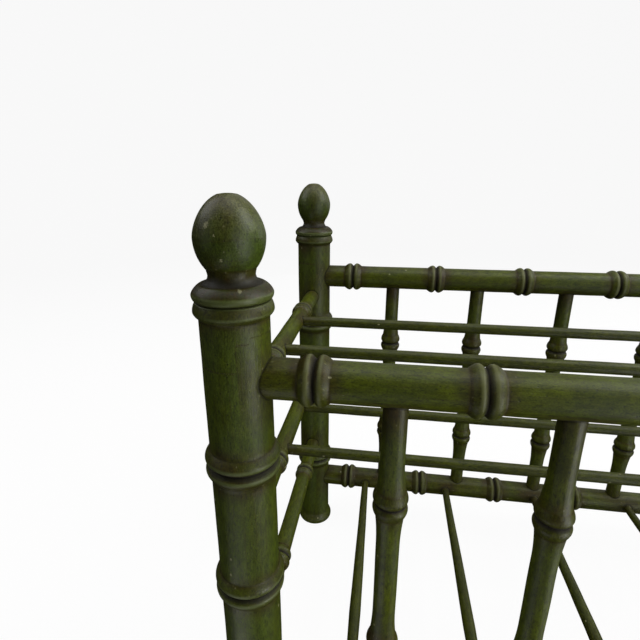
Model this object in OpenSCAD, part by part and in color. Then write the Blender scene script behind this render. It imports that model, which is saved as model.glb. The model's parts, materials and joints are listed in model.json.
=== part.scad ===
// Three-slot magazine rack of turned wood in the faux-bamboo style.
// Four ringed posts with egg finials carry ringed rails and spindles. Plain rods
// through the side rails part the slots, and thin dowels across the bottom are the floor.
// Millimetres. The origin is on the floor at the middle of the rack: +X runs along
// its length to the right, +Y to the back and +Z up.

/* [Layout] */
// Number of bays along the front and the back
bays = 6; // [4:1:8]
// Distance from one spindle to the next
pitch = 76; // [70:1:84]
// Distance from a post's axis to the nearest spindle
end_bay = 74.5; // [68:0.5:84]
// Distance from the front posts' axes to the back posts' axes
depth = 225; // [205:1:250]
// Height of the top rails' axes above the floor
top_rail_z = 277; // [265:1:300]
// Height of the bottom rails' axes above the floor
bottom_rail_z = 54.4; // [47:0.2:59]

/* [Posts] */
// Diameter of the front posts between their rings
front_post_d = 32.5; // [30:0.5:34]
// Diameter of the back posts, which are turned a little slimmer
back_post_d = 30; // [28:0.5:34]
// Height of the lowest ring on each post
low_ring_z = 80; // [78:1:84]
// Distance from one post ring to the next
post_ring_pitch = 76; // [74:0.5:77]
// Height of the joint between a post and its finial, above the top rail's axis
finial_joint_up = 38.2; // [34:0.1:44]

/* [Finials] */
// Largest diameter of the egg on a front post
egg_d = 31.6; // [28:0.2:34]
// Height from the finial's joint to the widest part of its egg
egg_mid_up = 27.4; // [26:0.2:30]
// Height from the widest part of the egg to its top
egg_top_up = 18; // [15:0.5:22]

/* [Rails and sticks] */
// Diameter of the four long rails
rail_d = 20.2; // [19:0.2:21]
// Diameter of the six side rails
side_rail_d = 12.2; // [11:0.2:12.4]
// Diameter of a spindle at its ends
spindle_d = 12; // [11:0.2:13]
// Diameter of a spindle at its middle
spindle_mid_d = 12.4; // [11:0.2:13]
// Diameter of the four divider rods
divider_d = 7.5; // [6:0.1:8]
// Diameter of a floor dowel at its ends
dowel_end_d = 6.6; // [6:0.2:7]
// Largest diameter of a floor dowel, which is nearer its front end
dowel_d = 8.8; // [7:0.2:10]

/* [Side rails and dividers] */
// Drop from the top rail's axis to the top side rail's axis
top_side_drop = 17.3; // [16.8:0.1:18]
// Drop from the top rail's axis to the middle side rail's axis
middle_side_drop = 92.6; // [86:0.2:100]
// Drop from the top rail's axis to the bottom side rail's axis
bottom_side_drop = 175.9; // [166:0.1:180]
// Distance from the front posts' axes to the front divider rods
front_divider_in = 77.9; // [74:0.1:84]
// Distance from the front posts' axes to the back divider rods
back_divider_in = 138.3; // [130:0.1:146]

/* [Hidden] */
SIDES = ["front", "back"];
ENDS = ["left", "right"];
LEVELS = ["top", "middle", "bottom"];
TIERS = ["upper", "lower"];
DOWELS = 5;

green = [0.29, 0.34, 0.17];
light_green = [0.36, 0.41, 0.21];
dark_green = [0.22, 0.27, 0.12];

// A ring is two beads side by side with a groove between them
RING_STEPS = 8;        // outline steps from a ring's foot to its groove
POST_CREST = 3.3;      // from the groove of a post's ring to each bead's crest
STICK_CREST = 3;       // the same on every other stick
PAST_GROOVE = 0.15;    // how far a bead runs past the middle of the groove
post_flank = 4.7;      // a bead's half-width on the outer side, by stick
rail_flank = 4.4;
spindle_flank = 4.7;
side_flank = 4.2;
post_rise = 2.7;       // height of a bead above its stick
rail_rise = 2.4;
spindle_rise = 1.6;
side_rise = 1.9;

// Joints: every stick's end is glued into a round socket as wide as the stick
FIT = 0.05;            // radial clearance for the glue
END_GAP = 0.5;         // space left beyond the end of a stick
RAIL_SUNK = 11;        // how far a rail goes into a post
SPINDLE_FLOOR = 4.2;   // from a long rail's axis to the bottom of a spindle's socket
DOWEL_FLOOR = 1.5;     // from a long rail's axis to the bottom of a dowel's hole
DIVIDER_FLOOR = 0.5;   // from a side rail's axis to the bottom of a rod's hole
SPIGOT_D = 10;         // the finial's own turned tenon
SPIGOT_LEN = 16;

half_length = end_bay + pitch * (bays - 2) / 2;
front_y = -depth / 2 + (front_post_d - back_post_d) / 4;   // centres the box over all four feet
back_y = front_y + depth;
side_y = [front_y, back_y];
end_x = [-half_length, half_length];
post_r = [front_post_d / 2, back_post_d / 2];
post_top_z = top_rail_z + finial_joint_up;
post_ring_z = [for (i = [0 : 2]) low_ring_z + i * post_ring_pitch];
long_rail_z = [top_rail_z, bottom_rail_z];
side_rail_z = [for (drop = [top_side_drop, middle_side_drop, bottom_side_drop]) top_rail_z - drop];
rail_r = rail_d / 2;
side_rail_r = side_rail_d / 2;
spindle_r = spindle_d / 2;
divider_r = divider_d / 2;
dowel_end_r = dowel_end_d / 2;
spindle_x = [for (i = [1 : bays - 1]) -half_length + end_bay + (i - 1) * pitch];
rail_ring_x = concat(
    [-half_length + end_bay / 2],
    [for (i = [0 : bays - 3]) spindle_x[i] + pitch / 2],
    [half_length - end_bay / 2]
);
side_ring_y = 0.22 * depth;                  // from the middle of a side rail
outer_dowel_x = half_length - 55.7;
inner_dowel_x = outer_dowel_x * 0.512;
dowel_x = [-outer_dowel_x, -inner_dowel_x, 0, inner_dowel_x, outer_dowel_x];
divider_y = [front_y + front_divider_in, front_y + back_divider_in];
divider_z = [side_rail_z[0], side_rail_z[1]];
spindle_mid_z = (top_rail_z + bottom_rail_z) / 2;
spindle_ring_up = 48.2;                      // from a spindle's middle to each ring
spindle_flare = 1.25;                        // how much a spindle swells towards each ring

// Rise of a bead, from 0 at t = -1 and t = 1 to 1 at its crest, where t = 0
function swell(t) = cos(90 * t);

// Outline points of one ring around the groove at z, on a stick of radius r
function ring(r, z, rise, flank, crest = STICK_CREST) =
    let (
        inner = crest + PAST_GROOVE,
        groove_t = crest / inner,
        half = [for (i = [0 : RING_STEPS])
            let (t = -1 + i * (1 + groove_t) / RING_STEPS)
            [rise * swell(t), t * (t < 0 ? flank : inner) - crest]]
    )
    concat(
        [for (p = half) [r + p[0], z + p[1]]],
        [for (i = [RING_STEPS - 1 : -1 : 0]) [r + half[i][0], z - half[i][1]]]
    );

// A solid of revolution about Z, from an outline that runs upwards
module turned(outline)
    rotate_extrude($fn = 96)
        polygon(concat([[0, outline[0][1]]], outline, [[0, outline[len(outline) - 1][1]]]));

// A round socket: its floor is at the origin, and it runs out along +Z
module socket(r, length)
    cylinder(r = r + FIT, h = length, $fn = 64);

// Foot: a short flare above a rounded edge
function foot(r) =
    concat(
        [for (a = [30 : 20 : 90]) [r + 1.1 + 1.6 * sin(a), 3 - 3 * cos(a) / cos(30)]],
        [for (t = [0.2 : 0.2 : 1]) [r + 2.7 * pow(swell(t), 1.5), 3 + 7 * t]]
    );

// Collar: one bead under the finial's joint, cut off by the joint on its upper side
function collar(r, top) =
    [for (t = [-1 : 0.2 : 0.8]) [r + 2.3 * swell(t), top - 4.8 + t * (t < 0 ? 3.2 : 6)]];

module post(side, end) {
    r = post_r[side];
    inward = [end == 0 ? 1 : -1, side == 0 ? 1 : -1];
    color(green)
        translate([end_x[end], side_y[side], 0])
            difference() {
                turned(concat(
                    foot(r),
                    [for (z = post_ring_z) each ring(r, z, post_rise, post_flank, POST_CREST)],
                    collar(r, post_top_z)
                ));
                for (z = long_rail_z)
                    translate([inward[0] * (r - RAIL_SUNK - END_GAP), 0, z])
                        rotate([0, inward[0] * 90, 0]) socket(rail_r, r);
                for (z = side_rail_z)
                    translate([0, inward[1] * (r - RAIL_SUNK - END_GAP), z])
                        rotate([-inward[1] * 90, 0, 0]) socket(side_rail_r, r);
                translate([0, 0, post_top_z - SPIGOT_LEN - END_GAP])
                    socket(SPIGOT_D / 2, SPIGOT_LEN + 1);
            }
}

// Finial: a spigot, a base that swells to a rim, a hollow neck and an egg
module finial(side, end) {
    shrink = 0.8 * (front_post_d / 2 - post_r[side]);
    rim_r = post_r[side] + 2.2;
    rim_up = 2.8;
    shoulder = 4.4;                          // width of the base's sloping shoulder
    cove_r = 4.2;                            // radius of the hollow between shoulder and neck
    neck_r = 10.6 - shrink;
    neck_up = 11.1;
    egg_r = egg_d / 2 - shrink;
    egg_low = 19.5;                          // half-height of the egg's lower ellipse
    crown_at = 75;                           // angle at which the egg's side meets its flat crown
    crown_up = 0.985 * egg_top_up;
    color(light_green)
        translate([end_x[end], side_y[side], post_top_z])
            turned(concat(
                [[SPIGOT_D / 2, -SPIGOT_LEN], [SPIGOT_D / 2, 0]],
                [for (a = [-90 : 30 : 0]) [rim_r - 1.6 + 1.6 * cos(a), rim_up * (1 + sin(a))]],
                [for (a = [15 : 15 : 75])
                    [rim_r - shoulder * (1 - pow(cos(a), 1.43)), rim_up + 4.6 * pow(sin(a), 1.43)]],
                [for (a = [252 : -12 : 180])
                    [neck_r + cove_r * (1 + cos(a)), neck_up + cove_r * sin(a)]],
                [for (a = [47 : -8 : 0]) [egg_r * cos(a), egg_mid_up - egg_low * sin(a)]],
                [for (a = [11 : 8 : crown_at])
                    [egg_r * cos(a), egg_mid_up + crown_up * pow(sin(a) / sin(crown_at), 1.25)]],
                [[egg_r * 0.17, egg_mid_up + egg_top_up]]
            ));
}

// Long rail, turned along its own Z and laid along X
module long_rail(side, level) {
    reach = half_length - post_r[side] + RAIL_SUNK;
    spindle_side = level == 0 ? -1 : 1;      // spindles come from below, or from above
    inner_side = side == 0 ? 1 : -1;         // floor dowels come from inside the rack
    color(green)
        translate([0, side_y[side], long_rail_z[level]])
            difference() {
                rotate([0, 90, 0])
                    turned(concat(
                        [[rail_r, -reach]],
                        [for (x = rail_ring_x) each ring(rail_r, x, rail_rise, rail_flank)],
                        [[rail_r, reach]]
                    ));
                for (x = spindle_x)
                    translate([x, 0, spindle_side * SPINDLE_FLOOR])
                        rotate([spindle_side < 0 ? 180 : 0, 0, 0]) socket(spindle_r, rail_r);
                if (level == 1)
                    for (x = dowel_x)
                        translate([x, inner_side * DOWEL_FLOOR, 0])
                            rotate([-inner_side * 90, 0, 0]) socket(dowel_end_r, rail_r);
            }
}

// Side rail, turned along its own Z and laid along Y
module side_rail(end, level) {
    low = front_y + post_r[0] - RAIL_SUNK;
    high = back_y - post_r[1] + RAIL_SUNK;
    mid = (front_y + back_y) / 2;
    inward = end == 0 ? 1 : -1;
    color(light_green)
        translate([end_x[end], 0, side_rail_z[level]])
            difference() {
                rotate([-90, 0, 0])
                    turned(concat(
                        [[side_rail_r, low]],
                        [for (y = [mid - side_ring_y, mid + side_ring_y])
                            each ring(side_rail_r, y, side_rise, side_flank)],
                        [[side_rail_r, high]]
                    ));
                if (level < 2)
                    for (y = divider_y)
                        translate([inward * DIVIDER_FLOOR, y, 0])
                            rotate([0, inward * 90, 0]) socket(divider_r, side_rail_r);
            }
}

// A spindle's ring, with the slow swell of the stick on both sides of it
function spindle_node(z) =
    let (
        reach = 26,                          // the swell starts this far from the ring
        foot = STICK_CREST + spindle_flank,
        base = (spindle_d + spindle_mid_d) / 4,
        swells = [for (t = [0 : 0.25 : 0.75]) [base + spindle_flare * t * t, reach + (foot - reach) * t]]
    )
    concat(
        [for (p = swells) [p[0], z - p[1]]],
        ring(base + spindle_flare, z, spindle_rise, spindle_flank),
        [for (i = [len(swells) - 1 : -1 : 0]) [swells[i][0], z + swells[i][1]]]
    );

module spindle(side, i) {
    low = bottom_rail_z + SPINDLE_FLOOR + END_GAP;
    high = top_rail_z - SPINDLE_FLOOR - END_GAP;
    straight = 12;                           // full-width length at each end
    color(green)
        translate([spindle_x[i - 1], side_y[side], 0])
            turned(concat(
                [[spindle_r, low], [spindle_r, low + straight]],
                spindle_node(spindle_mid_z - spindle_ring_up),
                [[spindle_mid_d / 2, spindle_mid_z]],
                spindle_node(spindle_mid_z + spindle_ring_up),
                [[spindle_r, high - straight], [spindle_r, high]]
            ));
}

module divider_rod(tier, side) {
    reach = half_length - DIVIDER_FLOOR - END_GAP;
    color(light_green)
        translate([-reach, divider_y[side], divider_z[tier]])
            rotate([0, 90, 0]) cylinder(r = divider_r, h = 2 * reach, $fn = 48);
}

module floor_dowel(i) {
    reach = depth / 2 - DOWEL_FLOOR - END_GAP;
    straight = 12;                           // full-width length at each end
    color(dark_green)
        translate([dowel_x[i - 1], (front_y + back_y) / 2, bottom_rail_z])
            rotate([-90, 0, 0])
                turned([
                    [dowel_end_r, -reach],
                    [dowel_end_r, -reach + straight],
                    [dowel_d / 2, -0.2 * depth],
                    [dowel_end_r, reach - straight],
                    [dowel_end_r, reach]
                ]);
}

for (side = [0, 1], end = [0, 1]) {
    post(side, end);
    finial(side, end);
}
for (side = [0, 1], level = [0, 1])
    long_rail(side, level);
for (end = [0, 1], level = [0 : 2])
    side_rail(end, level);
for (side = [0, 1], i = [1 : bays - 1])
    spindle(side, i);
for (tier = [0, 1], side = [0, 1])
    divider_rod(tier, side);
for (i = [1 : DOWELS])
    floor_dowel(i);
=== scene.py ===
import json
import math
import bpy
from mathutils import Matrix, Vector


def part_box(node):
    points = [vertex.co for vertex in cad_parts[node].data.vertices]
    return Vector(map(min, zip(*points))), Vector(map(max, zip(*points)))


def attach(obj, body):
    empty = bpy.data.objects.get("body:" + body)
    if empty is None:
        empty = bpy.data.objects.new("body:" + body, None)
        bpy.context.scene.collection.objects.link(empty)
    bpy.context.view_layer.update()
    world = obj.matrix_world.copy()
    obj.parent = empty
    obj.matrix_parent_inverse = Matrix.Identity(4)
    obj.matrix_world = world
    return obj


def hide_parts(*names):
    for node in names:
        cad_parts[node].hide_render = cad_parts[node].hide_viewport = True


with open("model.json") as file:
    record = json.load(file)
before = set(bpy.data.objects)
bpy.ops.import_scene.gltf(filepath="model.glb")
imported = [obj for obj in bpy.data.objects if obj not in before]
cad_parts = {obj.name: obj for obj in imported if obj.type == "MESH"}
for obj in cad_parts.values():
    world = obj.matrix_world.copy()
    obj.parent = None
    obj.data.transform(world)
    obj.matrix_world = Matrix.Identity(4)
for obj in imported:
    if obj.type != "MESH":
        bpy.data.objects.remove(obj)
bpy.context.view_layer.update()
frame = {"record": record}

# Looks of the faux-bamboo magazine rack. Every CAD node is replaced by a finer turned piece
# of the same size, with the small faults of hand turning and an antiqued green paint.
# Lengths are millimetres in this script and metres in Blender.

from types import SimpleNamespace

import bpy
import numpy as np
from mathutils import Matrix, Vector

MM = 0.001

# ---------------------------------------------------------------- sizes of the turnings

POST_FLARE = 2.7          # the foot and the post rings stand this far off a post
POST_RINGS_AT = (80.0, 156.0, 232.0)
# A ring is two beads: their rise, their half-width outwards and the way from the groove to a crest
POST_RING = SimpleNamespace(rise=2.7, flank=4.7, crest=3.3)
RAIL_RING = SimpleNamespace(rise=2.4, flank=4.4, crest=3.0)
SPINDLE_RING = SimpleNamespace(rise=1.6, flank=4.7, crest=3.0)
SIDE_RING = SimpleNamespace(rise=1.9, flank=4.2, crest=3.0)
PAST_GROOVE = 0.15        # how far a bead runs past the middle of the groove
SPINDLE_RING_UP = 48.2    # from a spindle's middle to each ring
SPINDLE_FLARE = 1.25      # how much a spindle swells towards each ring
SPINDLE_FLARE_FROM = 26.0 # where that swell starts, from the ring
SIDE_RING_SHARE = 0.22    # of the distance between front and back posts
SPINDLE_MID_R = 6.2
SPINDLE_END_R = 6.0
SPINDLE_RING_R = (SPINDLE_MID_R + SPINDLE_END_R) / 2
STRAIGHT_END = 12.0       # full-width length at the end of a spindle or dowel
DOWEL_END_R = 3.3
DOWEL_PEAK = -45.0        # the thickest place of a floor dowel, nearer the front
SPIGOT_R = 5.0
SPIGOT_LENGTH = 16.0
SPIGOT_HOLE = 16.5        # depth of the hole for it
FIT = 0.05                # radial clearance of the spigot in its hole
FOOT_TOP = 3.0            # height of a post's rounded foot
FLARE_TOP = 10.0          # height at which its flare ends
EDGE_R = 1.6              # rounding of a foot's edge and of a finial's rim
COLLAR_RISE = 2.3         # the bead under a finial
COLLAR_DOWN = 4.8         # from the post's top to its crest

rng = np.random.default_rng(1907)


def swell(t):
    """Rise of a bead, from 0 at t = -1 and t = 1 to 1 at its crest, where t = 0."""
    return np.cos(np.pi / 2 * np.clip(t, -1, 1))


def bead(z, crest, rise, below, above):
    return rise * swell((z - crest) / np.where(z < crest, below, above))


def ring(z, groove, kind):
    """Height of a double bead above its stick. Each ring differs a little, as hand turning does."""
    lower, upper = rng.uniform(0.95, 1.0, 2)
    spread = kind.crest * rng.uniform(0.96, 1.04)
    inner = kind.crest + PAST_GROOVE
    return np.maximum(
        bead(z, groove - spread, kind.rise * lower, kind.flank, inner),
        bead(z, groove + spread, kind.rise * upper, inner, kind.flank),
    )


PLAIN_STEP, RING_STEP, FINE_STEP = 2.6, 0.45, 0.8   # between the rows of a mesh
LEAST_STEP = 0.12


def rows(low, high, rings=(), fine=(), plain_step=PLAIN_STEP):
    """Heights of the rows of a mesh: close together at the rings and other fine shapes."""
    parts = [np.linspace(low, high, max(2, math.ceil((high - low) / plain_step)))]
    for at in rings:
        reach = POST_RING.crest + POST_RING.flank
        parts.append(at + np.linspace(-reach, reach, round(2 * reach / RING_STEP)))
        parts.append([at])
    for start, stop in fine:
        parts.append(np.linspace(start, stop, math.ceil((stop - start) / FINE_STEP)))
    z = np.unique(np.round(np.concatenate(parts), 3))
    z = z[(z >= low) & (z <= high)]
    keep = np.append(True, np.diff(z) > LEAST_STEP)
    return z[keep]


# ---------------------------------------------------------------- outlines, as (radius, height)


def post_outline(low, high, radius):
    """Foot, three rings and the collar, then the hole for the finial's spigot."""
    edge = np.radians(np.linspace(30, 90, 8))
    foot = np.stack([
        radius + POST_FLARE - EDGE_R + EDGE_R * np.sin(edge),
        low + FOOT_TOP * (1 - np.cos(edge) / np.cos(edge[0])),
    ], 1)
    z = rows(low + FOOT_TOP, high, POST_RINGS_AT, [(FOOT_TOP, FLARE_TOP), (high - 9, high)])[1:]
    flare = swell((z - FOOT_TOP) / (FLARE_TOP - FOOT_TOP)) ** 1.5
    r = radius + POST_FLARE * flare * (z < FLARE_TOP)
    for at in POST_RINGS_AT:
        r = r + ring(z, at, POST_RING)
    r = r + bead(z, high - COLLAR_DOWN, COLLAR_RISE, 3.2, 6.0)
    hole = [(SPIGOT_R + FIT, high), (SPIGOT_R + FIT, high - SPIGOT_HOLE)]
    return np.concatenate([foot, np.stack([r, z], 1), hole])


def finial_outline(joint, post_r):
    """Spigot, rim, sloping shoulder, hollow neck and egg."""
    slim = 0.8 * (sticks["front_left_post"].radius - post_r)
    rim_r, neck_r, egg_r = post_r + 2.2, 10.6 - slim, 15.8 - slim
    rim_up, shoulder, cove_r, neck_up, egg_up = 2.8, 4.4, 4.2, 11.1, 27.4
    crown_at, crown_up = math.radians(75), 17.7

    def arc(start, stop, count):
        return np.radians(np.linspace(start, stop, count))

    under = arc(-90, 0, 9)
    slope = arc(8, 78, 10)
    cove = arc(252, 180, 15)
    low_egg = arc(47, 0, 26)[1:]
    top_egg = arc(0, 74, 32)[1:]
    crown = np.linspace(0, 1, 12)[1:]
    stations = [
        np.array([[SPIGOT_R, -SPIGOT_LENGTH], [SPIGOT_R, 0.0]]),
        np.stack([rim_r - EDGE_R + EDGE_R * np.cos(under), rim_up * (1 + np.sin(under))], 1),
        np.stack([
            rim_r - shoulder * (1 - np.cos(slope) ** 1.43),
            rim_up + 4.6 * np.sin(slope) ** 1.43,
        ], 1),
        np.stack([neck_r + cove_r * (1 + np.cos(cove)), neck_up + cove_r * np.sin(cove)], 1),
        np.stack([egg_r * np.cos(low_egg), egg_up - 19.5 * np.sin(low_egg)], 1),
        np.stack([
            egg_r * np.cos(top_egg),
            egg_up + crown_up * (np.sin(top_egg) / np.sin(crown_at)) ** 1.25,
        ], 1),
    ]
    edge_r, edge_z = stations[-1][-1]
    stations.append(np.stack([
        edge_r * (1 - 0.85 * crown),
        edge_z + (egg_up + 18.0 - edge_z) * np.sin(crown * np.pi / 2),
    ], 1))
    outline = np.concatenate(stations)
    outline[:, 1] += joint
    return outline


def rail_outline(low, high, radius, rings, kind):
    z = rows(low, high, rings)
    r = np.full_like(z, radius)
    for at in rings:
        r = r + ring(z, at, kind)
    return np.stack([r, z], 1)


def spindle_outline(low, high):
    mid = (low + high) / 2
    rings = (mid - SPINDLE_RING_UP, mid + SPINDLE_RING_UP)
    z = rows(low, high, rings)
    foot = SPINDLE_RING.crest + SPINDLE_RING.flank
    reach = np.abs(z - mid)
    r = np.interp(
        reach,
        [0, SPINDLE_RING_UP - foot, SPINDLE_RING_UP + foot, mid - low - STRAIGHT_END],
        [SPINDLE_MID_R, SPINDLE_RING_R, SPINDLE_RING_R, SPINDLE_END_R],
    )
    from_ring = np.abs(reach - SPINDLE_RING_UP)
    near = np.clip((SPINDLE_FLARE_FROM - from_ring) / (SPINDLE_FLARE_FROM - foot), 0, 1)
    r = r + SPINDLE_FLARE * near ** 2
    for at in rings:
        r = r + ring(z, at, SPINDLE_RING)
    return np.stack([r, z], 1)


def dowel_outline(low, high, mid_r):
    z = rows(low, high)
    peak = (low + high) / 2 + DOWEL_PEAK
    slope = np.interp(z, [low + STRAIGHT_END, peak, high - STRAIGHT_END], [0, 1, 0])
    return np.stack([DOWEL_END_R + (mid_r - DOWEL_END_R) * slope, z], 1)


def rod_outline(low, high, radius):
    z = rows(low, high, plain_step=3.5)
    return np.stack([np.full_like(z, radius), z], 1)


# ---------------------------------------------------------------- places, from the CAD

AXES = {"x": 0, "y": 1, "z": 2}


def stick(node, along, flare=0.0):
    """A CAD node's axis, its two ends along it and its radius without rings, in millimetres."""
    low, high = (np.array(corner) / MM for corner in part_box(node))
    axis = AXES[along]
    across = (axis + 1) % 3
    centre = (low + high) / 2
    centre[axis] = 0.0
    radius = (high[across] - low[across]) / 2 - flare
    direction = np.zeros(3)
    direction[axis] = 1.0
    return SimpleNamespace(
        node=node, axis=axis, centre=centre, direction=direction,
        low=low[axis], high=high[axis], radius=radius,
    )


SIDES = ("front", "back")
ENDS = ("left", "right")
SPINDLES = range(1, 6)
sticks = {}
for side in SIDES:
    for end in ENDS:
        sticks[f"{side}_{end}_post"] = stick(f"{side}_{end}_post", "z", POST_FLARE)
    for level in ("top", "bottom"):
        sticks[f"{side}_{level}_rail"] = stick(f"{side}_{level}_rail", "x", RAIL_RING.rise)
    for i in SPINDLES:
        flare = SPINDLE_RING_R + SPINDLE_FLARE + SPINDLE_RING.rise - SPINDLE_END_R
        sticks[f"{side}_spindle_{i}"] = stick(f"{side}_spindle_{i}", "z", flare)
for end in ENDS:
    for level in ("top", "middle", "bottom"):
        sticks[f"{end}_{level}_side_rail"] = stick(f"{end}_{level}_side_rail", "y", SIDE_RING.rise)
for tier in ("upper", "lower"):
    for side in SIDES:
        sticks[f"{tier}_{side}_divider_rod"] = stick(f"{tier}_{side}_divider_rod", "x")
for i in range(1, 6):
    sticks[f"floor_dowel_{i}"] = stick(f"floor_dowel_{i}", "y")

post_x = sticks["front_right_post"].centre[0]
spindle_x = [sticks[f"front_spindle_{i}"].centre[0] for i in SPINDLES]
stations_x = [-post_x, *spindle_x, post_x]
rail_rings = [(a + b) / 2 for a, b in zip(stations_x, stations_x[1:])]
front_y = sticks["front_left_post"].centre[1]
back_y = sticks["back_left_post"].centre[1]
side_mid = (front_y + back_y) / 2
side_reach = SIDE_RING_SHARE * (back_y - front_y)
side_rings = [side_mid - side_reach, side_mid + side_reach]


def outline_of(s):
    """The outline that a stick's name asks for."""
    if s.node.endswith("_post"):
        return post_outline(s.low, s.high, s.radius)
    if "side_rail" in s.node:
        return rail_outline(s.low, s.high, s.radius, side_rings, SIDE_RING)
    if s.node.endswith("_rail"):
        return rail_outline(s.low, s.high, s.radius, rail_rings, RAIL_RING)
    if "spindle" in s.node:
        return spindle_outline(s.low, s.high)
    if "dowel" in s.node:
        return dowel_outline(s.low, s.high, s.radius)
    return rod_outline(s.low, s.high, s.radius)


def away_from_axis(points, s):
    """Distance of points from a stick's axis."""
    offset = points - s.centre
    offset[:, s.axis] = 0.0
    return np.linalg.norm(offset, axis=1)


def joints_of(s):
    """The sticks that this one ends in or that end in it.

    Each comes with the tip of the stick that ends and the way out of the one that holds it.
    """
    found = []
    for other in sticks.values():
        if other.axis == s.axis:
            continue
        for guest, host in ((s, other), (other, s)):
            for end, outward in ((guest.low, guest.direction), (guest.high, -guest.direction)):
                tip = guest.centre + guest.direction * end
                inside = host.low < tip[host.axis] < host.high
                if inside and away_from_axis(tip[None], host)[0] < host.radius:
                    found.append((other, tip, outward))
    return found


# ---------------------------------------------------------------- turning a piece on the lathe

RELIEF_STEP = 0.2         # spacing of the points that relief is worked out at
RELIEF_BLUR = 1.7         # an outline stands proud of itself smoothed by this
BUSY_BLUR = 5.0
UNEVEN = 0.12             # depth of the lathe's unevenness
TILT = 0.008              # most that a ring leans, as a slope
SEAM_FAR = 30.0           # distances to a joint are kept up to this
SEAM_REACH = 22.0         # and are worked out this near it
CROWN_LIGHTER_FROM = 27.0        # the lighter crown of a finial, dust and wear with painted light from above, starts this high above its joint
# Larger chips in the paint: degrees round the finial from its front, height above the joint, radius
CHIPS = {"front_left_finial": ((-20, 33.5, 1.2), (-4, 29.5, 0.6), (4, 19.5, 0.7), (30, 6.6, 0.8))}


def resampled(outline):
    """Points evenly spaced along an outline, and how far along it those and its own points are."""
    run = np.concatenate([[0], np.cumsum(np.linalg.norm(np.diff(outline, axis=0), axis=1))])
    even = np.arange(0, run[-1], RELIEF_STEP)
    return np.stack([np.interp(even, run, outline[:, k]) for k in (0, 1)], 1), even, run


def blurred(values, sigma):
    reach = int(4 * sigma / RELIEF_STEP)
    kernel = np.exp(-0.5 * (np.arange(-reach, reach + 1) * RELIEF_STEP / sigma) ** 2)
    padded = np.pad(values, reach, mode="reflect", reflect_type="odd")
    return np.convolve(padded, kernel / kernel.sum(), mode="valid")


def relief_of(outline):
    """How far the outline stands proud of its smoothed self, and how busy it is, up to 1 at a ring.

    Beads are positive and grooves are negative.
    """
    points, even, run = resampled(outline)
    smooth = np.stack([blurred(points[:, k], RELIEF_BLUR) for k in (0, 1)], 1)
    along = np.gradient(points, axis=0)
    along /= np.maximum(np.linalg.norm(along, axis=1, keepdims=True), 1e-9)
    outward = np.stack([along[:, 1], -along[:, 0]], 1)
    relief = np.sum((points - smooth) * outward, 1)
    busy = blurred(np.abs(relief), BUSY_BLUR)
    busy = busy / max(busy.max(), 0.2)
    return np.interp(run, even, relief), np.interp(run, even, busy)


def lumps(angle, height, amount):
    """Slow unevenness of a hand-turned surface: from 0 to -amount, so it only takes wood away."""
    total = np.zeros(np.broadcast(angle, height).shape)
    for k in range(1, 5):
        wave = rng.uniform(25, 90)
        turn, phase = rng.uniform(0, 2 * np.pi, 2)
        total = total + np.sin(k * angle + turn) * np.sin(2 * np.pi * height / wave + phase) / k
    return -amount * (0.5 + 0.5 * np.tanh(total))


def place(s):
    """Matrix that lays local Z along the stick, with its origin where that is 0 in the frame."""
    x = np.roll(s.direction, 1)
    y = np.cross(s.direction, x)
    matrix = np.eye(4)
    matrix[:3, 0], matrix[:3, 1], matrix[:3, 2] = x, y, s.direction
    matrix[:3, 3] = s.centre
    return matrix


def add_attribute(mesh, name, kind, values):
    field = "vector" if kind == "FLOAT_VECTOR" else "value"
    data = mesh.attributes.new(name, kind, "POINT").data
    data.foreach_set(field, np.ravel(values).astype(np.float32))


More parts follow.
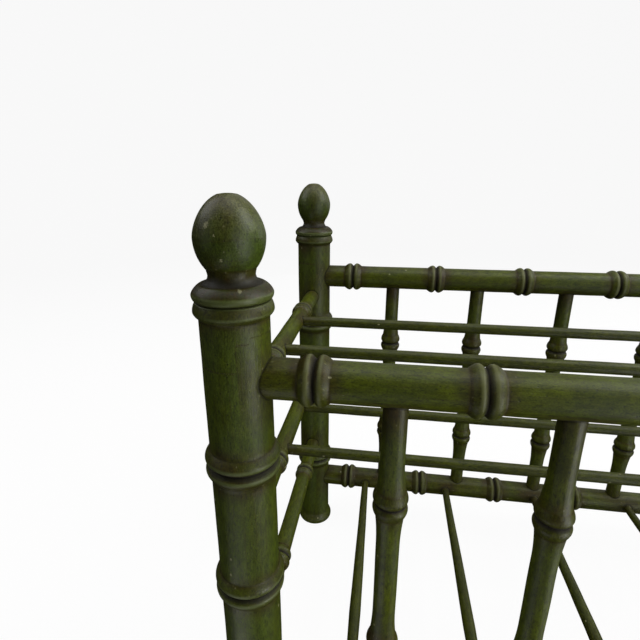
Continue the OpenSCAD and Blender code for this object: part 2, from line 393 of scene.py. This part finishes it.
def turned(s, outline, segments, material, bow):
    """Turns a stick from its outline, with the faults of hand turning, and puts it in the frame."""
    count = len(outline)
    angle = np.arange(segments) * 2 * np.pi / segments
    r, z = outline[:, :1], outline[:, 1:]
    relief, busy = relief_of(outline)

    lean = rng.uniform(0, 2 * np.pi)
    tilt = rng.uniform(-TILT, TILT)
    z_grid = z + tilt * r * np.cos(angle - lean) * busy[:, None]
    oval = rng.uniform(0.002, 0.005)
    r_grid = r * (1 - oval * (1 + np.cos(2 * (angle - rng.uniform(0, np.pi)))) / 2)
    r_grid = r_grid + lumps(angle, z, UNEVEN)
    share = np.clip((z_grid - s.low) / (s.high - s.low), 0, 1)
    sweep = rng.uniform(0, 2 * np.pi)
    shift = bow * np.sin(np.pi * share)
    x_grid = r_grid * np.cos(angle) + shift * np.cos(sweep)
    y_grid = r_grid * np.sin(angle) + shift * np.sin(sweep)
    local = np.stack([x_grid, y_grid, z_grid], 2).reshape(-1, 3)

    matrix = place(s)
    world = local @ matrix[:3, :3].T + matrix[:3, 3]
    seam = np.full(len(world), SEAM_FAR)
    for other, tip, outward in joints_of(s):
        near = np.linalg.norm(world - tip, axis=1) < s.radius + other.radius + SEAM_REACH
        near &= (world - tip) @ outward > 0
        gap = away_from_axis(world, other) - other.radius
        closer = near & (np.abs(gap) < np.abs(seam))
        seam[closer] = gap[closer]
    if s.node.endswith(("_post", "_finial")):
        gap = world[:, 2] - (s.high if s.node.endswith("_post") else s.joint)
        closer = np.abs(gap) < np.abs(seam)
        seam[closer] = gap[closer]

    first = np.arange(segments)
    following = np.roll(first, -1)
    row = np.arange(count - 1)[:, None] * segments
    corners = [row + first, row + following, row + segments + following, row + segments + first]
    quads = np.stack(corners, 2)
    faces = quads.reshape(-1, 4).tolist()
    faces.append(first[::-1].tolist())
    faces.append((first + (count - 1) * segments).tolist())

    mesh = bpy.data.meshes.new(s.node + "_turned")
    mesh.from_pydata((local * MM).tolist(), [], faces)
    smooth = np.ones(len(faces), bool)
    smooth[-2:] = False
    mesh.polygons.foreach_set("use_smooth", smooth)
    grain = local + rng.uniform(-500, 500, 3)
    add_attribute(mesh, "grain", "FLOAT_VECTOR", grain)
    add_attribute(mesh, "relief", "FLOAT", np.repeat(relief, segments))
    add_attribute(mesh, "busy", "FLOAT", np.repeat(busy, segments))
    add_attribute(mesh, "seam", "FLOAT", seam)
    crown_dust_and_light, settled = np.zeros(len(world)), np.zeros(len(world))
    # The top of each finial is painted lighter: partly dust and wear, partly painted light falling
    # from above.
    if s.node.endswith("_finial"):
        up = world[:, 2] - s.joint
        crown_dust_and_light = np.clip((up - CROWN_LIGHTER_FROM) / (s.high - s.joint - CROWN_LIGHTER_FROM), 0, 1)
        settled = np.clip(np.minimum((up - 2.0) / 2.0, (15.0 - up) / 4.0), 0, 1)
    chipped = np.zeros(len(world))
    for turn, up, size in CHIPS.get(s.node, ()):
        outward = np.array([math.sin(math.radians(turn)), -math.cos(math.radians(turn)), 0.0])
        sideways = np.array([-outward[1], outward[0], 0.0])
        offset = world - s.centre
        away = np.hypot(offset @ sideways, world[:, 2] - s.joint - up) / size
        chipped = np.maximum(chipped, np.clip(1.6 - away, 0, 1) * (offset @ outward > 0))
    add_attribute(mesh, "chipped", "FLOAT", chipped)
    add_attribute(mesh, "crown_dust_and_light", "FLOAT", crown_dust_and_light)
    add_attribute(mesh, "settled", "FLOAT", settled)
    mesh.materials.append(material)
    mesh.update()

    piece = bpy.data.objects.new(s.node + "_turned", mesh)
    bpy.context.scene.collection.objects.link(piece)
    matrix[:3, 3] *= MM
    piece.matrix_world = Matrix(matrix.tolist())
    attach(piece, "root")
    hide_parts(s.node)


# ---------------------------------------------------------------- antiqued green paint


class Tree:
    """A thin hand on a node tree: every method adds one node and returns its output socket."""

    def __init__(self, tree):
        self.tree = tree

    def add(self, kind, inputs=(), output=0, **settings):
        node = self.tree.nodes.new(kind)
        for name, value in settings.items():
            setattr(node, name, value)
        for name, value in dict(inputs).items():
            socket = node.inputs[name]
            if isinstance(value, bpy.types.NodeSocket):
                self.tree.links.new(value, socket)
            else:
                socket.default_value = value
        return node.outputs[output] if node.outputs else None

    def attribute(self, name, output="Fac"):
        return self.add("ShaderNodeAttribute", output=output, attribute_name=name)

    def math(self, operation, a, b=0.0, clamp=False):
        return self.add("ShaderNodeMath", {0: a, 1: b}, operation=operation, use_clamp=clamp)

    def scaled(self, vector, x, y, z):
        """A vector in units of x, y and z millimetres."""
        return self.add(
            "ShaderNodeVectorMath", {0: vector, 1: (1 / x, 1 / y, 1 / z)}, operation="MULTIPLY"
        )

    def noise(self, vector, detail=3.0, roughness=0.55):
        return self.add(
            "ShaderNodeTexNoise",
            {"Vector": vector, "Scale": 1.0, "Detail": detail, "Roughness": roughness},
        )

    def cells(self, vector):
        """Distance to the nearest of a scatter of points."""
        return self.add("ShaderNodeTexVoronoi", {"Vector": vector, "Scale": 1.0}, feature="F1")

    def ramp(self, value, low, high, at_low=0.0, at_high=1.0):
        """Smooth step of value from low to high."""
        return self.add(
            "ShaderNodeMapRange",
            {"Value": value, "From Min": low, "From Max": high,
             "To Min": at_low, "To Max": at_high},
            interpolation_type="SMOOTHSTEP",
        )

    def mix(self, share, a, b, blend="MIX"):
        return self.add(
            "ShaderNodeMix", {0: share, 6: a, 7: b}, output=2, data_type="RGBA", blend_type=blend
        )


BROWN_GLAZE = (0.046, 0.022, 0.003)
# Near black: grime in the pits of the paint, and painted shade in the grooves and at the feet of
# the beads
GRIME_AND_SHADE = (0.008, 0.006, 0.002)
BARE = (0.38, 0.37, 0.19)      # where paint has chipped off
FLECK = (0.230, 0.215, 0.105)  # dust caught in the glaze
CROWN_DUST_AND_LIGHT = (0.160, 0.158, 0.058) # the crowns of the finials: dulled by hands and dust, and painted lighter as top light


def paint(name, green, deep, worn, glaze_amount, dullness=0.0, across=False):
    """Old olive-green paint under a brown glaze, worn on the beads, dark in the joints, and
    darkened in the grooves by grime and painted shade.

    The fine lines run along the stick, or round it as the lathe left them.
    """
    material = bpy.data.materials.new(name)
    material.use_nodes = True
    tree = material.node_tree
    tree.nodes.clear()
    t = Tree(tree)

    wood = t.attribute("grain", "Vector")
    relief = t.attribute("relief")
    busy = t.attribute("busy")
    seam = t.math("ABSOLUTE", t.attribute("seam"))

    clouds = t.noise(t.scaled(wood, 34, 34, 60), detail=2)
    patches = t.noise(t.scaled(wood, 12, 12, 22), detail=5, roughness=0.6)
    mottle = t.noise(t.scaled(wood, 2.6, 2.6, 5.5), detail=3)
    if across:
        streaks = t.noise(t.scaled(wood, 16, 16, 1.6), detail=4, roughness=0.6)
        hairs = t.noise(t.scaled(wood, 7, 7, 0.6), detail=2, roughness=0.6)
    else:
        streaks = t.noise(t.scaled(wood, 1.1, 1.1, 34), detail=4, roughness=0.6)
        hairs = t.noise(t.scaled(wood, 0.5, 0.5, 9), detail=2, roughness=0.6)
    blots = t.noise(t.scaled(wood, 0.9, 0.9, 2.6), detail=2)
    fine = t.noise(t.scaled(wood, 0.6, 0.6, 0.9), detail=3, roughness=0.65)

    colour = t.mix(t.ramp(patches, 0.34, 0.66), (*green, 1), (*deep, 1))
    # Lighter finial crowns: dust and wear, with painted top light
    colour = t.mix(t.math("MULTIPLY", t.attribute("crown_dust_and_light"), t.ramp(fine, 0.3, 0.6, 0.4, 0.9)),
                   colour, (*CROWN_DUST_AND_LIGHT, 1))
    colour = t.mix(t.ramp(streaks, 0.48, 0.72, 0, 0.28), colour, (*BROWN_GLAZE, 1))
    colour = t.mix(t.ramp(hairs, 0.54, 0.78, 0, 0.26), colour, (*worn, 1))

    beside_ring = t.ramp(busy, 0.02, 0.42, 0, 0.8)
    flank = t.math("MULTIPLY", t.ramp(relief, -0.15, 0.12, 0.8, 0), t.ramp(busy, 0.30, 0.58))
    stain = t.math("MULTIPLY", beside_ring, t.ramp(clouds, 0.35, 0.6, 0.45, 1.0))
    stain = t.math("MAXIMUM", stain, t.ramp(seam, 0.0, 22.0, 0.75, 0.0))
    stain = t.math("ADD", stain, t.ramp(clouds, 0.50, 0.72, 0, 0.45), clamp=True)
    stain = t.math("MULTIPLY", stain, t.ramp(patches, 0.3, 0.66, 0.45, 1.0))
    stain = t.math("MAXIMUM", stain, flank)
    settled = t.math("MULTIPLY", t.attribute("settled"), t.ramp(mottle, 0.3, 0.65, 0.55, 1.0))
    stain = t.math("MAXIMUM", stain, settled)
    colour = t.mix(t.math("MULTIPLY", stain, glaze_amount), colour, (*BROWN_GLAZE, 1))

    shade = t.ramp(mottle, 0.30, 0.70, 0.80, 1.20)
    shade = t.math("MULTIPLY", shade, t.ramp(fine, 0.30, 0.70, 0.72, 1.28))
    shade = t.math("MULTIPLY", shade, t.ramp(blots, 0.56, 0.66, 1.0, 0.60))
    shade = t.add("ShaderNodeCombineColor", {"Red": shade, "Green": shade, "Blue": shade})
    colour = t.mix(1.0, colour, shade, "MULTIPLY")

    crest = t.math("MULTIPLY", t.ramp(relief, 0.28, 0.43), t.ramp(relief, 0.45, 0.60, 1.0, 0.4))
    crest = t.math("MULTIPLY", crest, t.ramp(patches, 0.3, 0.55, 0.35, 0.80))
    colour = t.mix(crest, colour, (*worn, 1))

    flecks = t.ramp(t.cells(t.scaled(wood, 2.6, 2.6, 3.4)), 0.10, 0.22, 1, 0)
    flecks = t.math("MULTIPLY", flecks, t.ramp(mottle, 0.48, 0.62))
    dusty = t.math("MAXIMUM", stain, t.attribute("crown_dust_and_light"))
    flecks = t.math("MULTIPLY", flecks, t.ramp(dusty, 0.1, 0.9, 0.15, 0.7))
    colour = t.mix(flecks, colour, (*FLECK, 1))

    chips = t.ramp(t.cells(t.scaled(wood, 11, 11, 16)), 0.040, 0.070, 1, 0)
    pits = t.ramp(t.cells(t.scaled(wood, 3.1, 3.1, 4.4)), 0.06, 0.13, 1, 0)
    ragged = t.math("ADD", t.attribute("chipped"), t.ramp(fine, 0.3, 0.7, -0.35, 0.35))
    chips = t.math("MAXIMUM", chips, t.ramp(ragged, 0.5, 0.75))
    colour = t.mix(t.math("MULTIPLY", chips, 0.8), colour, (*BARE, 1))
    colour = t.mix(t.math("MULTIPLY", pits, 0.6), colour, (*GRIME_AND_SHADE, 1))

    # Grime with painted shade: the grooves, the hollow between beads and the feet of the beads are
    # darkened to near black, as these hollows fall in shadow. The thin dark line at each joint
    # (crack) is the joint itself.
    groove = t.math("MULTIPLY", t.ramp(relief, -0.45, 0.05, 1, 0), t.ramp(busy, 0.70, 0.90))
    between = t.math("MULTIPLY", t.ramp(relief, 0.0, 0.36, 0.7, 0), t.ramp(busy, 0.92, 0.97))
    groove = t.math("MAXIMUM", groove, between)
    foot = t.ramp(relief, -0.45, -0.20, 0.30, 0)
    crack = t.ramp(seam, 0.1, 0.9, 0.6, 0)
    dirt_and_shade = t.math("MAXIMUM", t.math("MAXIMUM", groove, foot), crack)
    colour = t.mix(t.math("MULTIPLY", dirt_and_shade, 0.93), colour, (*GRIME_AND_SHADE, 1))

    rough = t.ramp(patches, 0.3, 0.7, 0.36 + dullness, 0.50 + dullness)
    rough = t.math("ADD", rough, t.ramp(fine, 0.3, 0.7, -0.06, 0.08))
    rough = t.math("ADD", rough, t.math("MULTIPLY", dirt_and_shade, 0.3), clamp=True)

    height = t.math("MULTIPLY", streaks, 0.10)
    height = t.math("ADD", height, t.math("MULTIPLY", hairs, 0.04))
    height = t.math("ADD", height, t.math("MULTIPLY", fine, 0.05))
    height = t.math("ADD", height, t.math("MULTIPLY", mottle, 0.12))
    height = t.math("SUBTRACT", height, t.math("MULTIPLY", pits, 0.06))
    height = t.math("SUBTRACT", height, t.math("MULTIPLY", crack, 0.25))
    normal = t.add("ShaderNodeBump", {"Strength": 1.0, "Distance": MM, "Height": height})

    surface = t.add(
        "ShaderNodeBsdfPrincipled",
        {"Base Color": colour, "Roughness": rough, "Normal": normal, "Specular IOR Level": 0.45},
    )
    t.add("ShaderNodeOutputMaterial", {"Surface": surface})
    return material


WORN_POST, WORN_RAIL = (0.135, 0.165, 0.050), (0.165, 0.175, 0.060)
paints = {
    "posts": paint("post_paint", (0.073, 0.100, 0.004), (0.060, 0.088, 0.003), WORN_POST, 0.70),
    "finials": paint(
        "finial_paint", (0.065, 0.108, 0.009), (0.052, 0.093, 0.006), WORN_POST, 0.85,
        dullness=-0.06, across=True,
    ),
    "rails": paint("rail_paint", (0.092, 0.116, 0.003), (0.063, 0.085, 0.002), WORN_RAIL, 0.80),
    "thin_rods": paint("rod_paint", (0.072, 0.086, 0.003), (0.050, 0.061, 0.002), WORN_RAIL, 0.50),
}

# ---------------------------------------------------------------- the pieces

# Faces round a piece, by what its name contains; the first that fits is used
SEGMENTS = {"_post": 112, "spindle": 48, "side_rail": 44, "dowel": 32, "divider": 36, "_rail": 72}
FINIAL_SEGMENTS = 160
BOW = 0.3                 # how far a rail or rod bends away from straight


def segments_of(node):
    return next(count for part, count in SEGMENTS.items() if part in node)


slots = {row["node"]: row["material_slot"] for row in frame["record"]["subparts"]}
for s in sticks.values():
    straight = s.node.endswith("_post") or "spindle" in s.node
    slot = slots[s.node]
    bow = 0.0 if straight else BOW
    turned(s, outline_of(s), segments_of(s.node), paints[slot], bow)

for side in SIDES:
    for end in ENDS:
        post = sticks[f"{side}_{end}_post"]
        f = stick(f"{side}_{end}_finial", "z")
        f.joint = post.high
        outline = finial_outline(post.high, post.radius)
        turned(f, outline, FINIAL_SEGMENTS, paints["finials"], 0.0)

# ---------------------------------------------------------------- floor, lights and camera

RACK_MIDDLE = (-0.1, 0.0, 0.2)          # metres, as all below
FRONT_LEFT_FOOT = (-0.22, -0.11, 0.09)
FLOOR_GREY = (0.10, 0.10, 0.10)
FLOOR_GLOW = 0.93                       # the floor is nearly self-lit, for a plain pale ground


def studio_bowl(radius=3.0, wall=2.5, curve=1.0, segments=96):
    """A pale floor that curves up into a wall all round. It throws no light on the rack."""
    bend = np.radians(np.linspace(0, 90, 16))
    outline = [(0.02, 0.0), (0.6, 0.0), (1.2, 0.0)]
    outline += [(radius - curve + curve * math.sin(a), curve * (1 - math.cos(a))) for a in bend]
    outline.append((radius, curve + wall))
    angle = np.arange(segments) * 2 * np.pi / segments
    points = [(r * math.cos(a), r * math.sin(a), z) for r, z in outline for a in angle]
    faces = [tuple(range(segments))]
    for k in range(len(outline) - 1):
        for j in range(segments):
            n = (j + 1) % segments
            low, high = k * segments, (k + 1) * segments
            faces.append((low + j, high + j, high + n, low + n))
    mesh = bpy.data.meshes.new("studio_floor")
    mesh.from_pydata(points, [], faces)
    mesh.polygons.foreach_set("use_smooth", np.ones(len(faces), bool))
    material = bpy.data.materials.new("studio_white")
    material.use_nodes = True
    shader = material.node_tree.nodes["Principled BSDF"]
    shader.inputs["Base Color"].default_value = (*FLOOR_GREY, 1)
    shader.inputs["Roughness"].default_value = 1.0
    shader.inputs["Specular IOR Level"].default_value = 0.0
    shader.inputs["Emission Color"].default_value = (1, 1, 1, 1)
    shader.inputs["Emission Strength"].default_value = FLOOR_GLOW
    mesh.materials.append(material)
    bowl = bpy.data.objects.new("studio_floor", mesh)
    bpy.context.scene.collection.objects.link(bowl)
    bowl.visible_diffuse = False
    bowl.visible_glossy = False
    bowl.visible_shadow = False


def softbox(name, azimuth, elevation, power, size=0.9, distance=1.3, aim=RACK_MIDDLE):
    """A square soft white light aimed at the rack. Azimuth 0 is in front of it, 90 to its right."""
    turn, rise = math.radians(azimuth), math.radians(elevation)
    toward = Vector((
        math.sin(turn) * math.cos(rise), -math.cos(turn) * math.cos(rise), math.sin(rise)
    ))
    lamp = bpy.data.lights.new(name, "AREA")
    lamp.shape = "SQUARE"
    lamp.size = size
    lamp.energy = power
    thing = bpy.data.objects.new(name, lamp)
    thing.location = Vector(aim) + toward * distance
    thing.rotation_euler = (-toward).to_track_quat("-Z", "Y").to_euler()
    thing.visible_camera = False
    bpy.context.scene.collection.objects.link(thing)


def surroundings(grey):
    world = bpy.data.worlds.new("room")
    world.use_nodes = True
    background = world.node_tree.nodes["Background"]
    background.inputs["Color"].default_value = (grey, grey, grey, 1)
    background.inputs["Strength"].default_value = 1.0
    bpy.context.scene.world = world


studio_bowl()
# Powers in watts, fitted to how the photo lights the rack. Some were then changed.
softbox("high_right", 90, 45, 8.09)
softbox("front_right", 45, 10, 2.47)
softbox("low_right", 80, -30, 1.06)
softbox("window", 80, 5, 1.20)
softbox("window_front", 52, -5, 2.02, 0.35)
softbox("back_right", 130, 15, 1.97)
softbox("top", 0, 88, 3.71)
softbox("top_back", 180, 50, 1.19)
softbox("high_left", 270, 45, 3.72)
softbox("left_front", 305, 8, 0.50)
softbox("back", 180, 10, 0.75)
softbox("foot_front", 13, -15, 0.071, 0.2, 0.37, FRONT_LEFT_FOOT)
softbox("foot_right", 65, -8, 0.41, 0.25, 0.5, FRONT_LEFT_FOOT)
softbox("foot_floor", 333, -40, 0.094, 0.2, 0.23, FRONT_LEFT_FOOT)
surroundings(0.014)

# Fitted to the edges in the photo
CAMERA_AT = (-0.1595, -0.2963, 0.3676)
CAMERA_DOWN = 18.08       # degrees below the horizon
CAMERA_LEFT = 8.54        # degrees to the left of straight ahead
LENS, SENSOR = 24.96, 36.0

camera = bpy.data.objects.new("camera", bpy.data.cameras.new("camera"))
camera.data.lens, camera.data.sensor_width = LENS, SENSOR
camera.data.clip_start = 0.01
camera.location = CAMERA_AT
camera.rotation_euler = (math.radians(90 - CAMERA_DOWN), 0.0, math.radians(CAMERA_LEFT))
bpy.context.scene.collection.objects.link(camera)
bpy.context.scene.camera = camera
bpy.context.scene.view_settings.view_transform = "Standard"
